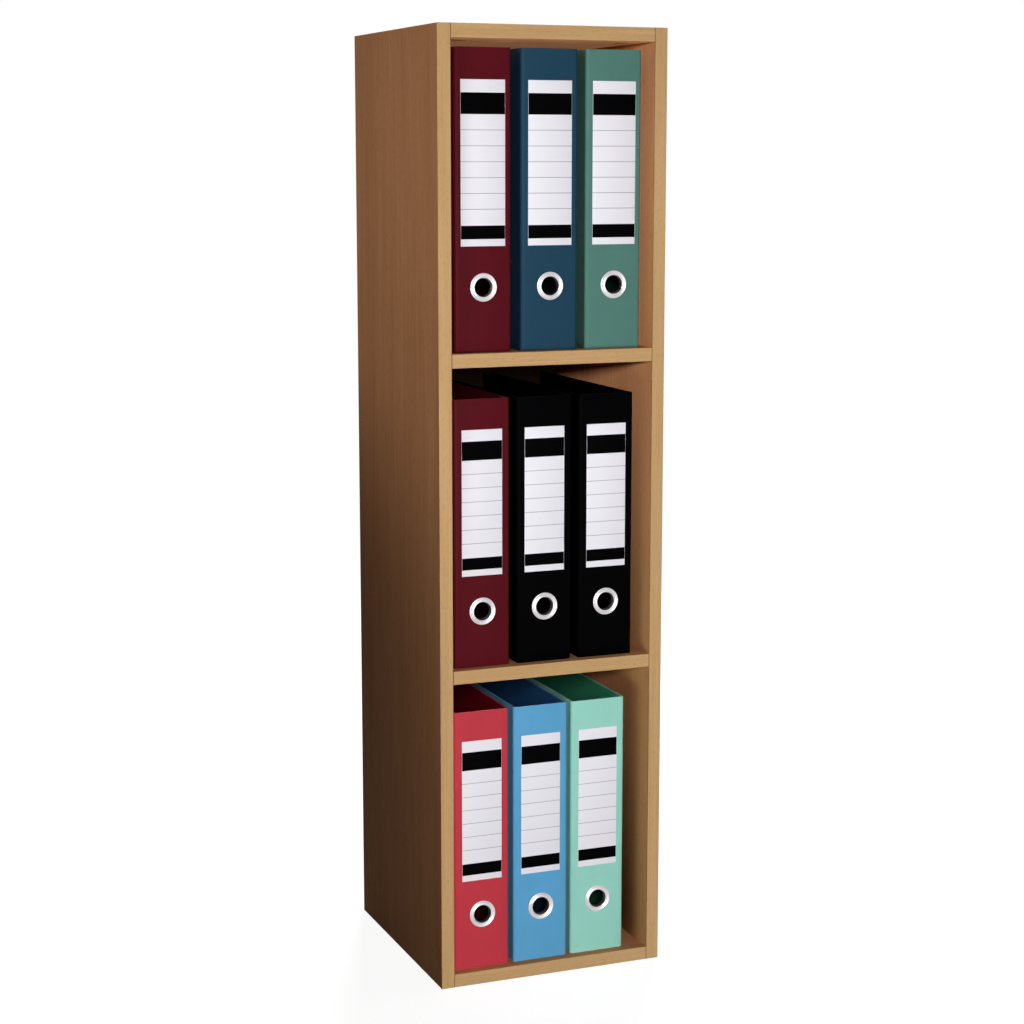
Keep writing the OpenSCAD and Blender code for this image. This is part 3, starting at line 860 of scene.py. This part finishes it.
leverBar = {
    "pivot": 13.4,
    "pivotUp": -10,
    "front": 25.1,
    "wide": 9,
    "thick": 1.5,
    "end": 82,  # where the grip starts
    "grip": (16, 26),  # width and length
    "gripFlare": 3,
    "gripRound": 7.52,
    "gripHole": 4.2,
    "ribIn": 2.2,  # flat left round the raised rib
    "rib": (0.9, 0.6),  # slope and rise
    "edgeRound": 0.25,
    "eye": [(2.6, 0), (3, 0.4), (3, 8.6), (2.6, 9)],  # radius, then distance along the pin
    "axle": [(1.5, 0), (1.5, 5.0), (1.2, 5.3), (0.5, 5.4)],
}
roller = {
    "up": 6,
    "front": 35.3,
    "section": [(1.55, 0), (3.7, 0), (4.0, 0.3), (4.0, 3.7), (3.7, 4), (1.55, 4)],
    "sides": 32,
}
pivotPin = {
    "section": [  # radius, then distance behind the spine's face
        (1.4, 23.1), (2.2, 23.3), (2.4, 23.7), (2.4, 23.95), (1.45, 24.0), (1.45, 35.25), (2.4, 35.3),
        (2.4, 35.6), (2.2, 35.95), (1.4, 36.1),
    ],
}


def makeLever(kind):
    # pressed bar with a raised rib, an eye round the pin and a wide rounded grip
    look = leverBar
    pivot, front, wide, thick = look["pivot"], look["front"], look["wide"], look["thick"]
    up = kind["tall"] / 2
    low, high = up + look["pivotUp"], up + look["end"]
    gripWide, gripLong = look["grip"]
    middle = front + wide / 2
    bar = addShape("cube", "leverBar", (pivot, middle, (low + high) / 2), (thick, wide, high - low), size=1)
    pick(bar, "FACE", lambda p: near(p.z, high))
    extrude(z=look["gripFlare"])
    bpy.ops.transform.resize(
        value=(1, gripWide / wide, 1), center_override=(pivot * mm, middle * mm, high * mm)
    )
    extrude(z=gripLong - look["gripFlare"])
    pickEdges(bar, 0, lambda p: near(p.z, high + gripLong))
    roundPicked(look["gripRound"], 8)
    pick(bar, "FACE", lambda p: near(p.x, pivot + thick / 2) and p.z < high + 0.1)
    insetPicked(look["ribIn"])
    insetPicked(*look["rib"])
    finishShape(bar, look["edgeRound"])
    drill(bar, (pivot, middle, high + gripLong - gripWide / 2), look["gripHole"], 5)
    eye = turned("leverEye", 1, (pivot, front, low), look["eye"])
    axle = turned("leverAxle", 1, (pivot, front + wide, up + roller["up"]), look["axle"], sides=20)
    return joined("leverModel", [bar, eye, axle])


def makePivotPin(kind):
    at = (leverBar["pivot"], 0, kind["tall"] / 2 + leverBar["pivotUp"])
    return turned("pinModel", 1, at, pivotPin["section"])


def makeRoller(kind):
    at = (leverBar["pivot"], roller["front"], kind["tall"] / 2 + roller["up"])
    return turned("rollerModel", 1, at, roller["section"], roller["sides"], closed=True)


basePlate = {
    "top": 3.3,
    "reach": (19.3, 86.3),
    "half": 79,  # half its height
    "thick": 1.0,
    "cornerRound": 6,
    "pressIn": 11.5,  # flat border round the pressed field
    "press": (1.2, 0.6),  # slope and rise
    "edgeRound": 0.2,
    "post": [  # radius, then distance from the cover's outside
        (3.4, 3.8), (3.2, 4.3), (2.5, 4.7), (2.0, 5.4), (2.0, 42.0), (1.7, 42.5), (0.9, 42.5), (0.9, 39.5),
    ],
    "lugUp": 20,  # the lugs hold the arch wire's hinge
    "lug": {"at": 6.8, "spans": (7, 8, 2), "axis": 2, "tipRound": (3.2, 5), "edgeRound": 0.2},
    "earsAt": (24.5, 34.7),  # the ears hold the lever's pin
    "ear": {"at": 9.85, "spans": (13.1, 1, 14), "axis": 1, "tipRound": (5, 6), "edgeRound": 0.15},
}


def plateTab(look, y, z):
    # a tab that stands up from the plate, with a rounded tip
    tab = addShape("cube", "plateTab", (look["at"], y, z), look["spans"], size=1)
    pickEdges(tab, look["axis"], lambda p: near(p.x, look["at"] + look["spans"][0] / 2))
    roundPicked(*look["tipRound"])
    return finishShape(tab, look["edgeRound"])


def makeBasePlate(kind):
    look = basePlate
    up = kind["tall"] / 2
    top, half, press = look["top"], look["half"], look["pressIn"]
    front, back = look["reach"]
    plate = addShape(
        "plane", "plate", (top, (front + back) / 2, up), (2 * half, back - front, 1), turn=(0, 90, 0), size=1
    )
    cuts = [(1, front + press), (1, back - press), (2, up - half + press), (2, up + half - press)]
    for axis, at in cuts:
        along = [1 if i == axis else 0 for i in range(3)]
        bpy.ops.mesh.select_all(action="SELECT")
        bpy.ops.mesh.bisect(plane_co=[at * mm * i for i in along], plane_no=along)
    pick(plate, "FACE", lambda p: front + 1 < p.y < back - 1 and abs(p.z - up) < half - 1)
    insetPicked(*look["press"])
    pick(plate, "VERT", lambda p: near(abs(p.z - up), half) and (near(p.y, front) or near(p.y, back)))
    roundPicked(look["cornerRound"], 5, affect="VERTICES")
    bpy.ops.object.mode_set(mode="OBJECT")
    modify(plate, "SOLIDIFY", thickness=look["thick"] * mm, offset=-1)
    roundEdges(plate, look["edgeRound"])
    smoothBelow()
    hingeY = archWire["hinge"][1]
    parts = [plate]
    for side in (-1, 1):
        postAt = (0, hingeY + archWire["hoopWide"], up + side * archWire["hoopUp"])
        parts.append(turned("post", 0, postAt, look["post"], sides=28))
        parts.append(plateTab(look["lug"], hingeY, up + side * look["lugUp"]))
    for earY in look["earsAt"]:
        parts.append(plateTab(look["ear"], earY, up + leverBar["pivotUp"]))
    return joined("plateModel", parts)


rivet = {
    "fromFront": 18,  # from the base plate's edges
    "fromBack": 7,
    "fromEnds": 7,
    "section": [  # radius, then distance from the cover's outside
        (1.2, -0.8), (2.4, -0.74), (3.3, -0.55), (3.85, -0.25), (4.0, 0.0), (2.0, 0.05), (2.0, 3.3),
        (3.0, 3.35), (2.9, 3.8), (2.2, 4.1), (1.0, 4.2),
    ],
}


def makeRivets(kind):
    look = rivet
    front, back = basePlate["reach"]
    out = basePlate["half"] - look["fromEnds"]
    parts = []
    for y in (front + look["fromFront"], back - look["fromBack"]):
        for side in (-1, 1):
            parts.append(turned("rivet", 0, (0, y, kind["tall"] / 2 + side * out), look["section"]))
    return joined("rivetModel", parts)


clampBar = {
    "low": 10.3,
    "thick": 3,
    "wide": 13,
    "half": 46.5,  # half its length
    "cornerRound": 6,
    "border": 3.6,
    "groove": (0.6, -0.7),  # slope and rise
    "edgeRound": 0.4,
    "postHole": 2.2,
}


def makeClampBar(kind):
    look = clampBar
    up = kind["tall"] / 2
    low, thick = look["low"], look["thick"]
    y = archWire["hinge"][1] + archWire["hoopWide"]
    spans = (thick, look["wide"], 2 * look["half"])
    bar = addShape("cube", "clampModel", (low + thick / 2, y, up), spans, size=1)
    pickEdges(bar, 0, lambda p: True)
    roundPicked(look["cornerRound"], 6)
    pick(bar, "FACE", lambda p: near(p.x, low + thick))
    insetPicked(look["border"])
    insetPicked(*look["groove"])
    finishShape(bar, look["edgeRound"])
    for side in (-1, 1):
        drill(bar, (low, y, up + side * archWire["hoopUp"]), look["postHole"], 6, sides=24)
    smoothBelow()
    return bar


fileParts = {  # what makes each piece of a file, and the solid that it takes the place of
    "cover": (makeCover, "cover"),
    "lining": (makeLining, "cover"),
    "label": (makeLabel, "label"),
    "ring": (makeRing, "ring"),
    "base_plate": (makeBasePlate, "mechanism"),
    "rivets": (makeRivets, "mechanism"),
    "clamp_bar": (makeClampBar, "mechanism"),
    "arch_wire": (makeArchWire, "lever_arch"),
    "lever": (makeLever, "lever_arch"),
    "pivot_pin": (makePivotPin, "lever_arch"),
    "roller": (makeRoller, "lever_arch"),
}
models = {}
for kindName, kind in fileKinds.items():
    models[kindName] = {partName: make(kind) for partName, (make, _) in fileParts.items()}
    print("file model made:", kindName)

slotOf = {part["node"]: part["material_slot"] for part in frame["record"]["subparts"]}
for row in ("bottom", "middle", "top"):
    for place in ("left", "centre", "right"):
        fileName = f"{row}_{place}"
        low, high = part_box(fileName + "_cover")
        low.x = (low.x + high.x - coverBoard["width"] * mm) / 2
        finishes = {
            "cover": films[slotOf[fileName + "_cover"]],
            "lining": linings[slotOf[fileName + "_cover"]],
            "label": card,
            "ring": ringNickel,
        }
        for partName, model in models["tall" if row == "top" else "lower"].items():
            bpy.ops.object.select_all(action="DESELECT")
            model.select_set(True)
            bpy.context.view_layer.objects.active = model
            bpy.ops.object.duplicate()
            piece = bpy.context.object
            piece.name = piece.data.name = f"{fileName}_file_{partName}"
            piece.location = low
            bpy.ops.object.transform_apply(location=True)
            piece.data.materials.clear()
            piece.data.materials.append(finishes.get(partName, nickel))
            nodeName = f"{fileName}_{fileParts[partName][1]}"
            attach(piece, fileName + "_file")
            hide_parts(nodeName)
for kindModels in models.values():
    for model in kindModels.values():
        bpy.data.objects.remove(model)
print("files placed")


# floor, lights and background
def seenDirectly(tree):
    # 1 for what the camera, a mirror or glass shows, and 0 where only light is handed on
    rays = addNode(tree, "ShaderNodeLightPath").outputs
    seen = rays["Is Camera Ray"]
    for kind in ("Is Glossy Ray", "Is Transmission Ray"):
        seen = addNode(tree, "ShaderNodeMath", {0: seen, 1: rays[kind]}, operation="MAXIMUM").outputs[0]
    return seen


def grey(level):
    return (level, level, level, 1)


paperSweep = {  # white paper, seen white with the shelf's shadow kept, that gives little light back
    "size": 30,
    "level": -0.1,  # mm, just under the shelf
    "givenBack": 0.12,
    "seen": 0.4,
    "glowFrom": (0.4, 0.86),  # metres from the shelf's middle, and its strength there
    "glowTo": (1.8, 1.0),
}
bpy.ops.mesh.primitive_plane_add(size=paperSweep["size"], location=(0, 0, paperSweep["level"] * mm))
floor = bpy.context.object
floor.name = floor.data.name = "studioFloor"
floorFinish = bpy.data.materials.new("paperSweep")
floorFinish.use_nodes = True
tree = floorFinish.node_tree
tree.nodes.clear()
dull = addNode(tree, "ShaderNodeBsdfDiffuse", {"Color": grey(paperSweep["givenBack"])})
pale = addNode(tree, "ShaderNodeBsdfDiffuse", {"Color": grey(paperSweep["seen"])})
floorPlace = addNode(tree, "ShaderNodeTexCoord").outputs["Object"]
away = addNode(tree, "ShaderNodeVectorMath", {0: floorPlace}, operation="LENGTH")
lift = addNode(
    tree, "ShaderNodeMapRange",
    {"Value": away.outputs["Value"],
     "From Min": paperSweep["glowFrom"][0], "From Max": paperSweep["glowTo"][0],
     "To Min": paperSweep["glowFrom"][1], "To Max": paperSweep["glowTo"][1]},
)
glow = addNode(tree, "ShaderNodeEmission", {"Color": grey(1), "Strength": lift.outputs[0]})
paleGlow = addNode(tree, "ShaderNodeAddShader", {0: pale.outputs[0], 1: glow.outputs[0]})
mixed = addNode(
    tree, "ShaderNodeMixShader", {0: seenDirectly(tree), 1: dull.outputs[0], 2: paleGlow.outputs[0]}
)
addNode(tree, "ShaderNodeOutputMaterial", {"Surface": mixed.outputs[0]})
floor.data.materials.append(floorFinish)

# black flags, unseen by the camera: one behind on the left keeps reflections off the shelf's
# side, and one in front of the left lamp cuts its light off softly half way down that side
blackFlags = {
    "rearFlag": {"at": (-1.6, 2.7, 1.2), "turn": 38, "spans": (5.0, 3.4)},
    "leftFlag": {"at": (-1.12, -0.57, 0.505), "turn": 60, "spans": (1.6, 0.95)},
}
flagFinish, _, _ = startMaterial(
    "blackVelvet", {"Base Color": grey(0.01), "Roughness": 1.0, "Specular IOR Level": 0}
)
lit = {**frame["nodes"], "studioFloor": floor}
for flagName, look in blackFlags.items():
    turn = (math.radians(90), 0, math.radians(look["turn"]))
    bpy.ops.mesh.primitive_plane_add(size=1, location=look["at"], rotation=turn)
    flag = bpy.context.object
    flag.name = flag.data.name = flagName
    flag.scale = (*look["spans"], 1)
    flag.visible_camera = False
    flag.data.materials.append(flagFinish)
    lit[flagName] = flag

# as in the photograph, the two sides are out of the front lamps and each face has its own;
# the files don't shade the top board, and the left flag is there for the left lamp alone
linkWords = {  # what a lamp's lists of pieces mean
    "lightsOnly": ("receiver", "INCLUDE"),
    "leavesOut": ("receiver", "EXCLUDE"),
    "shadedOnlyBy": ("blocker", "INCLUDE"),
    "passes": ("blocker", "EXCLUDE"),  # shines through these
}
stageLamps = {
    "key": {
        "at": (-0.85, -3.45, 1.4), "aim": (0, 0, 0.1), "size": (0.9, 0.7), "power": 15, "spread": 90,
        "leavesOut": ("left_side", "right_side"), "passes": ("leftFlag",),
    },
    "fill": {
        "at": (-0.55, -3.1, 0.12), "aim": (0, 0, 0.75), "size": (0.8, 0.4), "power": 50,
        "leavesOut": ("left_side", "right_side"), "passes": ("leftFlag",),
    },
    "left": {
        "at": (-2.1, -1.05, 1.5), "aim": (-0.14, -0.1, 1.0), "size": (0.5, 0.3), "power": 1.75, "spread": 50,
        "leavesOut": ("studioFloor", "right_side"),
    },
    "low": {
        "at": (-0.40, -0.44, 0.26), "aim": (-0.14, -0.12, 0.26), "size": (0.06, 0.5), "power": 0.36,
        "lightsOnly": ("left_side",),
    },
    "inner": {
        "at": (-0.85, -3.1, 1.3), "aim": (0.12, -0.13, 0.95), "size": (0.3, 0.3), "power": 4.4, "spread": 30,
        "lightsOnly": ("right_side",),
    },
    "aside": {  # a little green, like light off the mint file beside it
        "at": (-0.75, -0.75, 0.15), "aim": (0.12, -0.13, 0.19), "size": (1.2, 0.3), "power": 1.6,
        "spread": 80, "tint": (0.8, 1, 0.82), "lightsOnly": ("right_side",), "passes": ("leftFlag",),
    },
    "across": {
        "at": (0.85, -3.1, 1.2), "aim": (-0.12, -0.13, 0.6), "size": (0.3, 0.3), "power": 7, "spread": 50,
        "lightsOnly": ("left_side",),
    },
    "under": {
        "at": (-0.3, -1.6, 0.4), "aim": (0, -0.1, 1.11), "size": (0.4, 0.2), "power": 2.8, "spread": 60,
        "lightsOnly": ("top_board",), "shadedOnlyBy": ("top_board",),
    },
    "back": {
        "at": (1.4, 2.9, 1.5), "aim": (0, 0, 0.6), "size": (1.2, 1.2), "power": 32, "spread": 80,
        "passes": ("leftFlag",),
    },
}
for lampName, lamp in stageLamps.items():
    place, aim = Vector(lamp["at"]), Vector(lamp["aim"])
    turn = (aim - place).to_track_quat("-Z", "Y").to_euler()
    bpy.ops.object.light_add(type="AREA", location=place, rotation=turn)
    light = bpy.context.object
    light.name = lampName + "Softbox"
    light.data.shape = "RECTANGLE"
    light.data.size, light.data.size_y = lamp["size"]
    light.data.energy = lamp["power"]
    light.data.spread = math.radians(lamp.get("spread", 180))
    light.data.color = lamp.get("tint", (1, 1, 1))
    light.visible_camera = False
    for word, (role, linkState) in linkWords.items():
        if word in lamp:
            linked = bpy.data.collections.new(f"{lampName}_{role}")
            for member in lamp[word]:
                linked.objects.link(lit[member])
            for link in linked.collection_objects:
                link.light_linking.link_state = linkState
            setattr(light.light_linking, role + "_collection", linked)

ambient = 0.035  # strength of the soft light from all round
world = bpy.data.worlds.new("studioWhite")
scene.world = world
world.use_nodes = True
tree = world.node_tree
tree.nodes.clear()
soft = addNode(tree, "ShaderNodeBackground", {"Color": grey(1), "Strength": ambient})
white = addNode(tree, "ShaderNodeBackground", {"Color": grey(1), "Strength": 1.0})
mixed = addNode(tree, "ShaderNodeMixShader", {0: seenDirectly(tree), 1: soft.outputs[0], 2: white.outputs[0]})
addNode(tree, "ShaderNodeOutputWorld", {"Surface": mixed.outputs[0]})
print("stage set")
